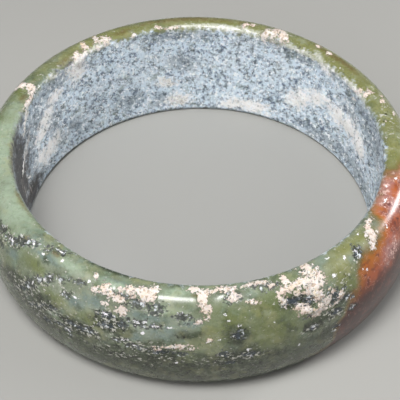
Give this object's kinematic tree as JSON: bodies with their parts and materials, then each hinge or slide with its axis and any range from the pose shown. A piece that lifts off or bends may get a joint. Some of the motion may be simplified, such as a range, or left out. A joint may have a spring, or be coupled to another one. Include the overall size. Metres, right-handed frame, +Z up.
{
  "type": "bracelet",
  "caption": "Plain round jade bangle, flat below, with a D-shaped section, an open hole for the hand, and chipped, crusted, partly altered stone.",
  "frame": {"origin": "on the axis of the hole, in the plane of the flat underside that the bangle rests on", "axes": "+Z up through the hole, -Y towards the side with the horseshoe crust and +X towards the russet zone"},
  "size_m": [0.0746, 0.0746, 0.0207],
  "materials": {
    "nephrite": "polished olive-green nephrite outside, frosted grey in the hole, with a russet zone and cream crusts"
  },
  "bodies": {
    "root": {"bracelet": "nephrite"}
  },
  "joints": []
}
